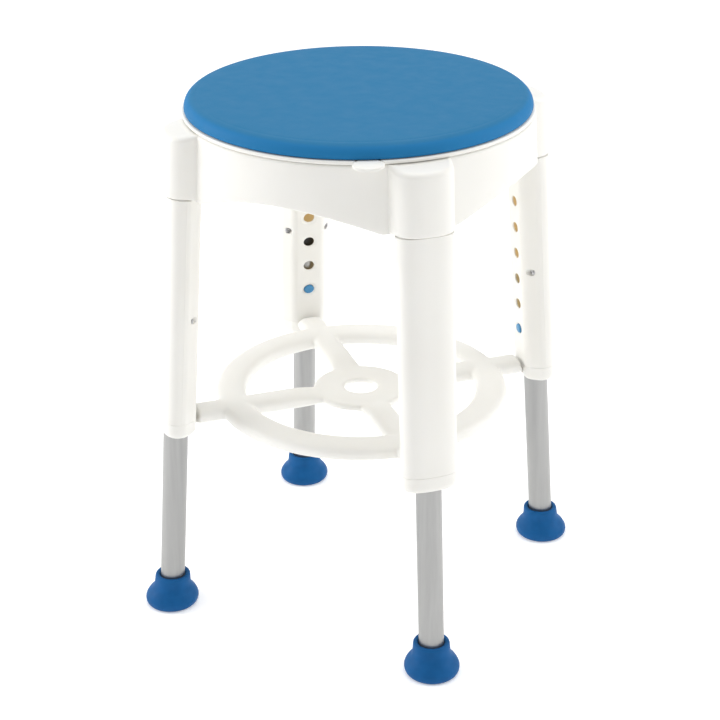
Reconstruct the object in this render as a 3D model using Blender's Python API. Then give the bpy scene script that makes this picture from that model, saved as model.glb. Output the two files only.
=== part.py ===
"""Rotating round shower stool: padded swivel seat, moulded frame, four adjustable legs, footrest ring.

Metres, +Z up. The origin is on the floor, under the swivel axis. The front side faces -Y.
The legs lean outwards going down, so each leg's pieces hang from an empty whose Z is the leg's own axis.
"""

import math

import bpy
import bmesh
from mathutils import Matrix, Vector

# Seat
PAD_R = 0.1613
PAD_TOP_Z = 0.5081
PAD_BOTTOM_Z = 0.4950
PAD_EDGE_R = 0.0115
PAD_LOW_EDGE = 0.0015
PLATE_R = 0.1634
PLATE_TOP_Z = 0.4947
PLATE_BOTTOM_Z = 0.4920
PLATE_EDGE = 0.0008
PLATE_HUB_R = 0.0140
PLATE_HUB_BOTTOM_Z = 0.4775
PAD_RECESS_R = 0.0130
PAD_RECESS_DEPTH = 0.0022
TAB_ANGLE = math.radians(-61.0)
TAB_ROOT_R = 0.1500
TAB_TIP_R = 0.1765
TAB_HALF_W = 0.0122
TAB_FLARE = 0.0035
TAB_TIP_ROUND = 0.0080
TAB_SLOT = 0.0006
GLIDE_R_IN = 0.1080
GLIDE_R_OUT = 0.1220
GLIDE_BOTTOM_Z = 0.4873
GLIDE_TOP_Z = 0.4917

# Seat frame
DECK_TOP_Z = 0.4912
DECK_BOTTOM_Z = 0.4840
SHOULDER_R = 0.1636
APRON_FOOT_R = 0.1672
APRON_WALL = 0.0032
ARCH_LOW_Z = 0.4290
ARCH_RISE = 0.0205
ARCH_START = math.radians(12.5)
BOSS_HALF_W = 0.0284
BOSS_REACH = 0.0184
BOSS_NOSE = 0.0260
BOSS_POWER = 3.0
BOSS_TOP_SLOPE = 0.12
BOSS_BOTTOM_Z = 0.4316
FLARE_LENGTH = 0.0100
FLARE_WIDTH = 0.0050
HUB_HOLE_R = 0.0144
FRAME_HUB_R = 0.0230
FRAME_HUB_BOTTOM_Z = 0.4768

# Pivot
BOLT_R = 0.0050
BOLT_HEAD_R = 0.0100
BOLT_SEAT_Z = 0.4921
BOLT_CROWN_R = 0.0060
BOLT_HEAD_EDGE = 0.0012
BOLT_HEAD_H = 0.0026
NUT_TOP_Z = 0.4737
NUT_BOTTOM_Z = 0.4657
NUT_ACROSS = 0.0170
WASHER_TOP_Z = 0.4764
WASHER_BOTTOM_Z = 0.4741
WASHER_R = 0.0200

# Legs, measured along each leg's own axis from the floor
LEG_RADIAL = 0.2015
LEG_LEAN = math.atan(0.0685)
TUBE_R = 0.0119
TUBE_WALL = 0.0012
TUBE_BOTTOM = 0.0112
TUBE_TOP = 0.2915
PLUG_HEAD = 0.0115
BORE_R = 0.01225
SLEEVE_TOP = 0.4810
SLEEVE_BORE_TOP = 0.4780
SLEEVE_SHOULDER = 0.4306
SPIGOT_INSET = 0.0018
SHELL_BOTTOM = 0.2063
COLLAR_BOTTOM = 0.1915
COLLAR_TOP = 0.2060
FACE_IN = 0.0165
FACE_HALF_W = 0.0166
FACE_CORNER = 0.0022
SPLIT_X = 0.0007
SECTION_W_LOW = 0.0260
SECTION_W_HIGH = 0.0268
SECTION_OUT_LOW = 0.0160
SECTION_OUT_HIGH = 0.0165
SECTION_POWER = 2.7
SHELL_WALL = 0.0024
HOLE_PITCH = 0.02754
HOLE_COUNT = 6
FIRST_HOLE = 0.2435
HOLE_HALF_W = 0.0057
HOLE_HALF_H = 0.0050
SCREW_AT = 0.3114
SCREW_OFFSET = 0.0206
SCREW_R = 0.0016
SCREW_HEAD_R = 0.0029
SCREW_HEAD_H = 0.0023
SCREW_SEAT_X = -0.0068
SCREW_END_X = 0.0060
BAYS = ((0.2120, 0.3040), (0.3205, 0.3700), (0.3900, 0.4240))

# Push-button
BUTTON_HALF_W = 0.0053
BUTTON_HALF_H = 0.0046
BUTTON_TIP = 0.0177
BUTTON_BACK = 0.0064
BUTTON_FLANGE_R = 0.0062
LEAF_THICKNESS = 0.0008
LEAF_WIDTH = 0.0072

# Rubber foot
FOOT_BORE_R = 0.01225
FOOT_SOCKET_Z = 0.0092
FOOT_HOLLOW_R = 0.0156
FOOT_HOLLOW_Z = 0.0014
FOOT_PROFILE = (
    (0.0225, 0.0000), (0.0251, 0.0018), (0.0262, 0.0058), (0.0258, 0.0091),
    (0.0234, 0.0132), (0.0190, 0.0187), (0.0175, 0.0245), (0.0172, 0.0303), (0.0162, 0.0315),
)

# Footrest
RING_R = 0.1286
RING_HALF_W = 0.0152
RING_HALF_H = 0.0079
RING_Z = 0.2031
ARM_HALF_W = 0.0135
ARM_HALF_H = 0.0076
ARM_END = 0.1672
RING_HUB_R = 0.0460
RING_HUB_HOLE_R = 0.0157
RING_HUB_TOP_Z = 0.2058
RING_HUB_BOTTOM_Z = 0.1992
TONGUE_HALF_W = 0.0060
TONGUE_HALF_H = 0.0022
TONGUE_AT = 0.1994
TONGUE_TIP = 0.0137
TONGUE_ROOT = 0.0230

GAP = 0.0003
ROUND_STEPS = 48
TUBE_STEPS = 20
HOLE_STEPS = 12
LEGS = (("front_left", -135.0), ("front_right", -45.0), ("rear_right", 45.0), ("rear_left", 135.0))


def clear_scene():
    for obj in list(bpy.data.objects):
        bpy.data.objects.remove(obj, do_unlink=True)


def material(name, color, roughness, metallic=0.0):
    mat = bpy.data.materials.get(name)
    if mat:
        return mat
    mat = bpy.data.materials.new(name)
    mat.use_nodes = True
    shader = mat.node_tree.nodes["Principled BSDF"]
    shader.inputs["Base Color"].default_value = (*color, 1.0)
    shader.inputs["Roughness"].default_value = roughness
    shader.inputs["Metallic"].default_value = metallic
    mat.diffuse_color = (*color, 1.0)
    return mat


def white_plastic():
    return material("white_plastic", (0.80, 0.79, 0.76), 0.45)


def blue_foam():
    return material("blue_foam", (0.06, 0.23, 0.43), 0.55)


def blue_rubber():
    return material("blue_rubber", (0.015, 0.10, 0.26), 0.60)


def blue_button_plastic():
    return material("blue_button_plastic", (0.04, 0.24, 0.50), 0.35)


def aluminium():
    return material("satin_aluminium", (0.62, 0.62, 0.62), 0.40, 0.9)


def zinc_steel():
    return material("zinc_steel", (0.45, 0.45, 0.46), 0.35, 1.0)


def black_nylon():
    return material("black_nylon", (0.02, 0.02, 0.02), 0.50)


def glide_acetal():
    return material("glide_acetal", (0.70, 0.70, 0.68), 0.40)


def object_from(bm, name, mat, parent=None):
    """Finishes a bmesh as a named object with its normals facing out."""
    bmesh.ops.recalc_face_normals(bm, faces=bm.faces)
    mesh = bpy.data.meshes.new(name)
    bm.to_mesh(mesh)
    bm.free()
    if mat:
        mesh.materials.append(mat)
    mesh.shade_smooth()
    mesh.set_sharp_from_angle(angle=math.radians(35))
    obj = bpy.data.objects.new(name, mesh)
    bpy.context.scene.collection.objects.link(obj)
    obj.parent = parent
    return obj


def cutter_from(bm, name, parent=None):
    obj = object_from(bm, name, None, parent)
    obj.hide_render = True
    obj.display_type = "WIRE"
    return obj


def combine(obj, other, operation="DIFFERENCE", solver="EXACT"):
    """Adds a Boolean with another object, which stays in the scene as a hidden helper."""
    mod = obj.modifiers.new(operation.title() + " " + other.name, "BOOLEAN")
    mod.operation = operation
    mod.object = other
    mod.solver = solver
    other.hide_render = True
    other.display_type = "WIRE"


def loft(bm, rings, closed=False):
    """Skins a list of closed point rings; the ends get caps unless the rings close on themselves."""
    rows = [[bm.verts.new(point) for point in ring] for ring in rings]
    pairs = list(zip(rows, rows[1:]))
    if closed:
        pairs.append((rows[-1], rows[0]))
    for low, high in pairs:
        for i in range(len(low)):
            j = (i + 1) % len(low)
            bm.faces.new((low[i], low[j], high[j], high[i]))
    if not closed:
        bm.faces.new(rows[0][::-1])
        bm.faces.new(rows[-1])


def circle(radius, z, steps, center=(0.0, 0.0)):
    return [
        Vector((center[0] + radius * math.cos(t), center[1] + radius * math.sin(t), z))
        for t in (2 * math.pi * i / steps for i in range(steps))
    ]


def turned(bm, profile, steps, closed=False):
    """A turned solid about Z from (radius, height) points; closed joins the last ring to the first."""
    loft(bm, [circle(r, z, steps) for r, z in profile], closed)


def extruded(bm, outline, low, high, axis="Z"):
    """A straight prism from a flat outline."""
    rings = []
    for level in (low, high):
        if axis == "Z":
            rings.append([Vector((x, y, level)) for x, y in outline])
        elif axis == "X":
            rings.append([Vector((level, x, y)) for x, y in outline])
        else:
            rings.append([Vector((x, level, y)) for x, y in outline])
    loft(bm, rings)


def oval(half_w, half_h, steps, center=(0.0, 0.0)):
    return [
        (center[0] + half_w * math.cos(t), center[1] + half_h * math.sin(t))
        for t in (2 * math.pi * i / steps for i in range(steps))
    ]


# Seat -----------------------------------------------------------------------


def build_pad(parent):
    """The soft round cushion: a flat-bottomed disc with a rounded top edge and a recess over the bolt head."""
    low_edge = PAD_BOTTOM_Z + PAD_LOW_EDGE
    profile = [
        (PAD_RECESS_R, PAD_BOTTOM_Z + PAD_RECESS_DEPTH), (PAD_RECESS_R, PAD_BOTTOM_Z),
        (PAD_R - PAD_LOW_EDGE, PAD_BOTTOM_Z), (PAD_R, low_edge),
    ]
    for i in range(1, 6):
        t = math.radians(18.0 * i)
        radius = PAD_R - PAD_EDGE_R + PAD_EDGE_R * math.cos(t)
        profile.append((radius, low_edge + (PAD_TOP_Z - low_edge) * math.sin(t)))
    bm = bmesh.new()
    loft(bm, [circle(r, z, ROUND_STEPS) for r, z in profile])
    return object_from(bm, "seat_pad", blue_foam(), parent)


def tab_outline(grow=0.0):
    """Plan of the release tab, root at small x: a tongue that widens towards its rounded tip."""
    tip = TAB_TIP_R + grow
    root = TAB_ROOT_R - grow
    w = TAB_HALF_W + grow
    flare = w + TAB_FLARE
    end = tip - TAB_TIP_ROUND
    points = [(root, -w), (PLATE_R - 0.002, -w), (end, -flare)]
    for i in range(1, 6):
        t = math.radians(-90.0 + 30.0 * i)
        points.append((end + TAB_TIP_ROUND * math.cos(t), flare * math.sin(t)))
    points += [(end, flare), (PLATE_R - 0.002, w), (root, w)]
    return points


def build_swivel_plate(parent):
    """The turning plate under the cushion, with its centre hub and the notch for the release tab."""
    bm = bmesh.new()
    turned(
        bm,
        (
            (BOLT_R + GAP, PLATE_HUB_BOTTOM_Z), (PLATE_HUB_R, PLATE_HUB_BOTTOM_Z),
            (PLATE_HUB_R, PLATE_BOTTOM_Z), (PLATE_R - PLATE_EDGE, PLATE_BOTTOM_Z),
            (PLATE_R, PLATE_BOTTOM_Z + PLATE_EDGE), (PLATE_R, PLATE_TOP_Z), (BOLT_HEAD_R + GAP, PLATE_TOP_Z),
            (BOLT_HEAD_R + GAP, BOLT_SEAT_Z), (BOLT_R + GAP, BOLT_SEAT_Z),
        ),
        ROUND_STEPS,
        closed=True,
    )
    plate = object_from(bm, "swivel_plate", white_plastic(), parent)
    bm = bmesh.new()
    extruded(bm, tab_outline(TAB_SLOT), PLATE_BOTTOM_Z - 0.002, PLATE_TOP_Z + 0.002)
    notch = cutter_from(bm, "tab_notch_cutter", parent)
    notch.rotation_euler = (0.0, 0.0, TAB_ANGLE)
    combine(plate, notch)
    return plate


def build_release_tab(parent):
    """The finger tab in the plate's rim, with its origin on the line it flexes about."""
    z_mid = (PLATE_BOTTOM_Z + PLATE_TOP_Z) / 2
    bm = bmesh.new()
    outline = [(x - TAB_ROOT_R, y) for x, y in tab_outline()]
    extruded(bm, outline, PLATE_BOTTOM_Z - z_mid, PLATE_TOP_Z - z_mid)
    tab = object_from(bm, "seat_release_tab", white_plastic(), parent)
    tab.location = (
        TAB_ROOT_R * math.cos(TAB_ANGLE), TAB_ROOT_R * math.sin(TAB_ANGLE), z_mid,
    )
    tab.rotation_euler = (0.0, 0.0, TAB_ANGLE)
    return tab


def build_glide_ring(parent):
    """The low-friction ring the swivel plate turns on."""
    bm = bmesh.new()
    turned(
        bm,
        (
            (GLIDE_R_IN, GLIDE_BOTTOM_Z), (GLIDE_R_OUT, GLIDE_BOTTOM_Z),
            (GLIDE_R_OUT, GLIDE_TOP_Z), (GLIDE_R_IN, GLIDE_TOP_Z),
        ),
        ROUND_STEPS,
        closed=True,
    )
    return object_from(bm, "glide_ring", glide_acetal(), parent)


def build_pivot(parent):
    """The pivot bolt, its washer and its lock nut, which turn with the seat."""
    bm = bmesh.new()
    head_z = BOLT_SEAT_Z + GAP
    loft(
        bm,
        [
            circle(BOLT_R - 0.0006, NUT_BOTTOM_Z - 0.0030, 16), circle(BOLT_R, NUT_BOTTOM_Z - 0.0024, 16),
            circle(BOLT_R, head_z, 16), circle(BOLT_HEAD_R, head_z, 16),
            circle(BOLT_HEAD_R, head_z + BOLT_HEAD_EDGE, 16), circle(BOLT_CROWN_R, head_z + BOLT_HEAD_H, 16),
        ],
    )
    object_from(bm, "pivot_bolt", zinc_steel(), parent)
    bm = bmesh.new()
    turned(
        bm,
        (
            (BOLT_R + GAP, WASHER_BOTTOM_Z), (WASHER_R, WASHER_BOTTOM_Z),
            (WASHER_R, WASHER_TOP_Z), (BOLT_R + GAP, WASHER_TOP_Z),
        ),
        24,
        closed=True,
    )
    object_from(bm, "pivot_washer", zinc_steel(), parent)
    bm = bmesh.new()
    hexagon = [circle(NUT_ACROSS / math.sqrt(3), z, 6) for z in (NUT_BOTTOM_Z, NUT_TOP_Z)]
    loft(bm, hexagon)
    nut = object_from(bm, "pivot_lock_nut", zinc_steel(), parent)
    bm = bmesh.new()
    loft(bm, [circle(BOLT_R + GAP, z, 20) for z in (NUT_BOTTOM_Z - 0.002, NUT_TOP_Z + 0.002)])
    combine(nut, cutter_from(bm, "nut_bore_cutter", parent))


# Seat frame -----------------------------------------------------------------


def leg_radial(z):
    return LEG_RADIAL - math.tan(LEG_LEAN) * z


def apron_radius(z):
    """The apron leans out towards its lower edge."""
    t = (DECK_TOP_Z - z) / (DECK_TOP_Z - ARCH_LOW_Z)
    return SHOULDER_R + (APRON_FOOT_R - SHOULDER_R) * min(max(t, 0.0), 1.0)


def boss_half_width(r, z, grow=0.0):
    """Half the width of a corner boss at distance r from the swivel axis, flared where it leaves the apron."""
    apron = apron_radius(z)
    nose = leg_radial(z) + BOSS_REACH + grow
    start = nose - BOSS_NOSE
    width = BOSS_HALF_W + grow
    near = max(0.0, 1.0 - (r - apron) / FLARE_LENGTH)
    side = width + FLARE_WIDTH * near * near
    if r <= start:
        return side
    s = min(1.0, (r - start) / (nose - start))
    return min(side, width * (1.0 - s ** BOSS_POWER) ** (1.0 / BOSS_POWER))


def frame_radius(angle_off, z):
    """Distance from the axis to the outer wall at an angle away from the nearest leg."""
    low = apron_radius(z)
    high = leg_radial(z) + BOSS_REACH
    if low * math.sin(angle_off) >= boss_half_width(low, z):
        return low
    for _ in range(40):
        mid = (low + high) / 2
        if mid * math.sin(angle_off) < boss_half_width(mid, z):
            low = mid
        else:
            high = mid
    return (low + high) / 2


def arch_height(angle_off):
    """The lower edge of the apron, low at the bosses and arched between them."""
    t = (angle_off - ARCH_START) / (math.pi / 4 - ARCH_START)
    t = min(max(t, 0.0), 1.0)
    return ARCH_LOW_Z + ARCH_RISE * math.sin(math.pi * t / 2) ** 0.9


def low_z(angle_off):
    """The lower edge of the whole wall: the apron's arch, stepped up a little under each boss."""
    if angle_off < math.radians(9.4):
        return BOSS_BOTTOM_Z
    return arch_height(angle_off)


def quarter_angles():
    """Angles away from a leg, close together round the boss and wider along the apron."""
    boss = [0.0, 2.4, 4.7, 6.6, 7.8, 8.5, 9.0, 9.8, 11.0]
    apron = [13.5, 18.0, 24.0, 31.0, 38.0, 45.0]
    return [math.radians(a) for a in boss + apron]


def build_seat_frame():
    """The moulded frame: a flat deck, an arched apron and four corner bosses with sockets for the legs."""
    half = quarter_angles()
    turns = []
    for _, degrees in LEGS:
        center = math.radians(degrees)
        turns += [(center - a, a) for a in reversed(half[:-1])]
        turns += [(center + a, a) for a in half[1:]]

    def ring_at(radius_of, height_of):
        return [
            Vector((radius_of(a) * math.cos(t), radius_of(a) * math.sin(t), height_of(a)))
            for t, a in turns
        ]

    def top_z(a):
        return DECK_TOP_Z - BOSS_TOP_SLOPE * (frame_radius(a, DECK_TOP_Z) - SHOULDER_R)

    wall = APRON_WALL
    bm = bmesh.new()
    loft(
        bm,
        [
            ring_at(lambda a: SHOULDER_R - 0.0025, lambda a: DECK_TOP_Z),
            ring_at(lambda a: frame_radius(a, DECK_TOP_Z) - 0.0022, top_z),
            ring_at(lambda a: frame_radius(a, DECK_TOP_Z) - 0.0006, lambda a: top_z(a) - 0.0012),
            ring_at(lambda a: frame_radius(a, 0.4850), lambda a: top_z(a) - 0.0040),
            ring_at(lambda a: frame_radius(a, low_z(a) + 0.0030), lambda a: low_z(a) + 0.0030),
            ring_at(lambda a: frame_radius(a, low_z(a)) - 0.0016, low_z),
            ring_at(lambda a: apron_radius(low_z(a)) - wall, low_z),
            ring_at(lambda a: SHOULDER_R - wall - 0.001, lambda a: DECK_BOTTOM_Z),
        ],
    )
    frame = object_from(bm, "seat_frame", white_plastic())
    bm = bmesh.new()
    loft(bm, [circle(FRAME_HUB_R, z, 28) for z in (FRAME_HUB_BOTTOM_Z, DECK_BOTTOM_Z + 0.002)])
    combine(frame, cutter_from(bm, "frame_hub_boss"), "UNION")
    bm = bmesh.new()
    loft(bm, [circle(HUB_HOLE_R, z, 28) for z in (FRAME_HUB_BOTTOM_Z - 0.002, DECK_TOP_Z + 0.002)])
    combine(frame, cutter_from(bm, "hub_hole_cutter"))
    bm = bmesh.new()
    turned(
        bm,
        (
            (GLIDE_R_IN - GAP, GLIDE_BOTTOM_Z - GAP), (GLIDE_R_OUT + GAP, GLIDE_BOTTOM_Z - GAP),
            (GLIDE_R_OUT + GAP, DECK_TOP_Z + 0.002), (GLIDE_R_IN - GAP, DECK_TOP_Z + 0.002),
        ),
        ROUND_STEPS,
        closed=True,
    )
    combine(frame, cutter_from(bm, "glide_track_cutter"))
    return frame


# Legs -----------------------------------------------------------------------


def section_outer(width, reach, grow=0.0):
    """Outer half of the sleeve's section, from one side seam round the rounded back to the other."""
    points = []
    steps = 10
    for i in range(steps + 1):
        t = -math.pi / 2 + math.pi * i / steps
        out = max(math.cos(t), 0.0) ** (2.0 / SECTION_POWER)
        across = math.copysign(abs(math.sin(t)) ** (2.0 / SECTION_POWER), t)
        points.append((SPLIT_X + (reach - SPLIT_X + grow) * out, (width + grow) * across))
    return points


def section_inner(width, grow=0.0):
    """Inner half of the section, from one side seam across the flat hole face to the other."""
    face = -FACE_IN - grow
    half = FACE_HALF_W + grow * 0.6
    corner = 0.9 * FACE_CORNER
    return [
        (SPLIT_X, width + grow), (face + corner, half + corner), (face, half - FACE_CORNER),
        (face, -half + FACE_CORNER), (face + corner, -half - corner), (SPLIT_X, -width - grow),
    ]


def sleeve_section(width, reach, grow=0.0):
    """The whole sleeve section: rounded outside, wedge-shaped towards the seat's axis."""
    return section_outer(width, reach, grow) + section_inner(width, grow)[1:-1]


def section_at(height):
    """Half width and outer reach of the sleeve at a height: it widens a little towards the seat."""
    t = (height - COLLAR_BOTTOM) / (SLEEVE_TOP - COLLAR_BOTTOM)
    width = SECTION_W_LOW + (SECTION_W_HIGH - SECTION_W_LOW) * t
    reach = SECTION_OUT_LOW + (SECTION_OUT_HIGH - SECTION_OUT_LOW) * t
    return width, reach


def half_rings(side, heights):
    """Rings of one half of the sleeve at several heights, closed across the split."""
    rings = []
    for height, inset in heights:
        width, reach = section_at(height)
        if side == "outer":
            points = section_outer(width, reach, -inset)
        else:
            points = [(x - GAP if x == SPLIT_X else x, y) for x, y in section_inner(width, -inset)]
        rings.append([Vector((x, y, height)) for x, y in points])
    return rings


def bay_cutter(name, axis_empty):
    """Hollow bays between the ribs of the sleeve, both halves at once."""
    bm = bmesh.new()
    for low, high in BAYS:
        width, reach = section_at(low)
        extruded(bm, sleeve_section(width, reach, -SHELL_WALL), low, high)
    return cutter_from(bm, name, axis_empty)


def build_sleeve(leg, axis_empty):
    """One leg sleeve: an outer and an inner shell closed round the tube, on an end collar."""
    bays = bay_cutter(leg + "_bay_cutter", axis_empty)
    bm = bmesh.new()
    loft(bm, [circle(BORE_R, z, TUBE_STEPS) for z in (COLLAR_BOTTOM - 0.01, SLEEVE_BORE_TOP)])
    bore = cutter_from(bm, leg + "_bore_cutter", axis_empty)
    bm = bmesh.new()
    heights = (
        (SHELL_BOTTOM, 0.0), (SLEEVE_SHOULDER, 0.0),
        (SLEEVE_SHOULDER, SPIGOT_INSET), (SLEEVE_TOP, SPIGOT_INSET),
    )
    loft(bm, half_rings("outer", heights))
    outer = object_from(bm, leg + "_sleeve_outer_shell", white_plastic(), axis_empty)
    bm = bmesh.new()
    loft(bm, half_rings("inner", heights))
    inner = object_from(bm, leg + "_sleeve_inner_shell", white_plastic(), axis_empty)
    for shell in (outer, inner):
        combine(shell, bays, solver="MANIFOLD")
        combine(shell, bore, solver="MANIFOLD")
    bm = bmesh.new()
    for i in range(HOLE_COUNT):
        center = (0.0, FIRST_HOLE + HOLE_PITCH * i)
        extruded(bm, oval(HOLE_HALF_W, HOLE_HALF_H, HOLE_STEPS, center), -0.020, -0.008, axis="X")
    combine(inner, cutter_from(bm, leg + "_height_hole_cutter", axis_empty), solver="MANIFOLD")
    bm = bmesh.new()
    for side in (-1, 1):
        center = (side * SCREW_OFFSET, SCREW_AT)
        rings = []
        seat_r, hole_r = SCREW_HEAD_R + GAP, SCREW_R + GAP
        for x, r in ((-0.020, seat_r), (SCREW_SEAT_X, seat_r), (SCREW_SEAT_X, hole_r), (0.0070, hole_r)):
            rings.append([Vector((x, y, z)) for y, z in oval(r, r, 8, center)])
        loft(bm, rings)
    screw_cutter = cutter_from(bm, leg + "_screw_cutter", axis_empty)
    combine(inner, screw_cutter, solver="MANIFOLD")
    combine(outer, screw_cutter, solver="MANIFOLD")
    build_collar(leg, axis_empty, bore)
    build_screws(leg, axis_empty)


def build_collar(leg, axis_empty, bore):
    """The end collar that guides the tube and holds the footrest's tongue."""
    rings = []
    for height, inset in ((COLLAR_BOTTOM, 0.0022), (COLLAR_BOTTOM + 0.0022, 0.0), (COLLAR_TOP, 0.0)):
        width, reach = section_at(height)
        rings.append([Vector((x, y, height)) for x, y in sleeve_section(width, reach, -inset)])
    bm = bmesh.new()
    loft(bm, rings)
    collar = object_from(bm, leg + "_end_collar", white_plastic(), axis_empty)
    combine(collar, bore)
    combine(collar, tongue_block(leg + "_pocket_cutter", axis_empty, GAP))


def build_screws(leg, axis_empty):
    for side, name in ((-1, "screw_a"), (1, "screw_b")):
        bm = bmesh.new()
        rings = []
        seat = SCREW_SEAT_X - GAP
        for x, r in (
            (seat - SCREW_HEAD_H, SCREW_R), (seat - SCREW_HEAD_H + 0.0005, SCREW_HEAD_R),
            (seat, SCREW_HEAD_R), (seat, SCREW_R), (SCREW_END_X, SCREW_R),
        ):
            rings.append([Vector((x, y, z)) for y, z in oval(r, r, 8)])
        loft(bm, rings)
        screw = object_from(bm, leg + "_" + name, zinc_steel(), axis_empty)
        screw.location = (0.0, side * SCREW_OFFSET, SCREW_AT)


def build_tube(leg, axis_empty):
    """The extension tube with its button hole, and the black glide plug in its top."""
    bm = bmesh.new()
    inner = TUBE_R - TUBE_WALL
    turned(
        bm,
        ((inner, TUBE_BOTTOM), (TUBE_R, TUBE_BOTTOM), (TUBE_R, TUBE_TOP), (inner, TUBE_TOP)),
        TUBE_STEPS,
        closed=True,
    )
    tube = object_from(bm, leg + "_extension_tube", aluminium(), axis_empty)
    bm = bmesh.new()
    extruded(bm, oval(HOLE_HALF_W, HOLE_HALF_H, HOLE_STEPS, (0.0, FIRST_HOLE)), -0.020, -0.004, axis="X")
    combine(tube, cutter_from(bm, leg + "_tube_hole_cutter", axis_empty))
    bm = bmesh.new()
    top = TUBE_TOP + PLUG_HEAD
    profile = (
        (inner - GAP, TUBE_TOP - PLUG_HEAD), (inner - GAP, TUBE_TOP + GAP), (TUBE_R, TUBE_TOP + GAP),
        (TUBE_R, top - 0.0010), (TUBE_R - 0.0010, top),
    )
    loft(bm, [circle(r, z, 14) for r, z in profile])
    object_from(bm, leg + "_tube_plug", black_nylon(), axis_empty)


def build_button(leg, axis_empty):
    """The blue push-button, with its origin on the press axis, and the leaf spring behind it."""
    bm = bmesh.new()
    rings = []
    flange = BUTTON_FLANGE_R
    for x, w, h in (
        (-BUTTON_BACK, flange, flange), (-BUTTON_BACK - 0.0010, flange, flange),
        (-BUTTON_BACK - 0.0010, BUTTON_HALF_W, BUTTON_HALF_H),
        (-BUTTON_TIP + 0.0010, BUTTON_HALF_W, BUTTON_HALF_H),
        (-BUTTON_TIP + 0.0002, BUTTON_HALF_W - 0.0008, BUTTON_HALF_H - 0.0008),
        (-BUTTON_TIP, BUTTON_HALF_W - 0.0022, BUTTON_HALF_H - 0.0020),
    ):
        rings.append([Vector((x, y, z)) for y, z in oval(w, h, HOLE_STEPS)])
    loft(bm, rings)
    button = object_from(bm, leg + "_push_button", blue_button_plastic(), axis_empty)
    button.location = (0.0, 0.0, FIRST_HOLE)
    path = [
        (-0.0057, 0.0070), (-0.0057, -0.0050), (-0.0042, -0.0200), (-0.0015, -0.0320),
        (0.0020, -0.0350), (0.0050, -0.0310), (0.0074, -0.0180), (0.0083, -0.0060), (0.0083, 0.0050),
    ]
    half_t = LEAF_THICKNESS / 2
    left, right = [], []
    for i, (x, z) in enumerate(path):
        before = Vector(path[max(i - 1, 0)])
        after = Vector(path[min(i + 1, len(path) - 1)])
        along = (after - before).normalized()
        side = Vector((-along.y, along.x)) * half_t
        left.append((x + side.x, z + side.y))
        right.append((x - side.x, z - side.y))
    bm = bmesh.new()
    extruded(bm, left + right[::-1], -LEAF_WIDTH / 2, LEAF_WIDTH / 2, axis="Y")
    spring = object_from(bm, leg + "_button_spring", zinc_steel(), axis_empty)
    spring.location = (0.0, 0.0, FIRST_HOLE)


def build_foot(leg, foot_empty, axis_empty):
    """The flared rubber foot, flat on the floor with its socket along the leaning tube, and the washer in it."""
    lean = math.tan(LEG_LEAN)
    steps = 22
    rings = [circle(FOOT_HOLLOW_R, FOOT_HOLLOW_Z, steps), circle(FOOT_HOLLOW_R, 0.0, steps)]
    rings += [circle(r, z, steps, (-lean * z, 0.0)) for r, z in FOOT_PROFILE]
    top = FOOT_PROFILE[-1][1]
    rings += [circle(FOOT_BORE_R, z, steps, (-lean * z, 0.0)) for z in (top, FOOT_SOCKET_Z)]
    bm = bmesh.new()
    loft(bm, rings)
    object_from(bm, leg + "_rubber_foot", blue_rubber(), foot_empty)
    bm = bmesh.new()
    low = TUBE_BOTTOM - GAP - 0.0009
    loft(bm, [circle(TUBE_R - GAP, z, TUBE_STEPS) for z in (low, TUBE_BOTTOM - GAP)])
    object_from(bm, leg + "_foot_washer", zinc_steel(), axis_empty)


def build_leg(leg, degrees, frame):
    angle = math.radians(degrees)
    corner = Vector((LEG_RADIAL * math.cos(angle), LEG_RADIAL * math.sin(angle), 0.0))
    foot_empty = bpy.data.objects.new(leg + "_foot_place", None)
    axis_empty = bpy.data.objects.new(leg + "_leg_axis", None)
    for empty in (foot_empty, axis_empty):
        bpy.context.scene.collection.objects.link(empty)
        empty.location = corner
    foot_empty.rotation_euler = (0.0, 0.0, angle)
    turn = Matrix.Rotation(angle, 3, "Z") @ Matrix.Rotation(-LEG_LEAN, 3, "Y")
    axis_empty.rotation_euler = turn.to_euler()
    build_sleeve(leg, axis_empty)
    build_tube(leg, axis_empty)
    build_button(leg, axis_empty)
    build_foot(leg, foot_empty, axis_empty)
    socket = []
    for height in (BOSS_BOTTOM_Z - 0.020, SLEEVE_TOP + 0.0005):
        width, reach = section_at(height)
        section = sleeve_section(width, reach, GAP - SPIGOT_INSET)
        socket.append([Vector((x, y, height)) for x, y in section])
    bm = bmesh.new()
    loft(bm, socket)
    combine(frame, cutter_from(bm, leg + "_socket_cutter", axis_empty))


# Footrest -------------------------------------------------------------------


def ellipse_ring(center, along, half_w, half_h, steps):
    """Points of an upright ellipse across a horizontal direction."""
    across = Vector((-along.y, along.x, 0.0))
    return [
        center + across * (half_w * math.cos(t)) + Vector((0.0, 0.0, half_h * math.sin(t)))
        for t in (2 * math.pi * i / steps for i in range(steps))
    ]


def tongue_block(name, axis_empty, grow):
    """The tongue on the end of a footrest arm or, grown, the pocket it plugs into."""
    w = TONGUE_HALF_W + grow
    h = TONGUE_HALF_H + grow
    z = TONGUE_AT
    bm = bmesh.new()
    outline = [(-w, z - h), (w, z - h), (w, z + h), (-w, z + h)]
    extruded(bm, outline, -TONGUE_ROOT, -TONGUE_TIP + grow, axis="X")
    return cutter_from(bm, name, axis_empty)


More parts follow.
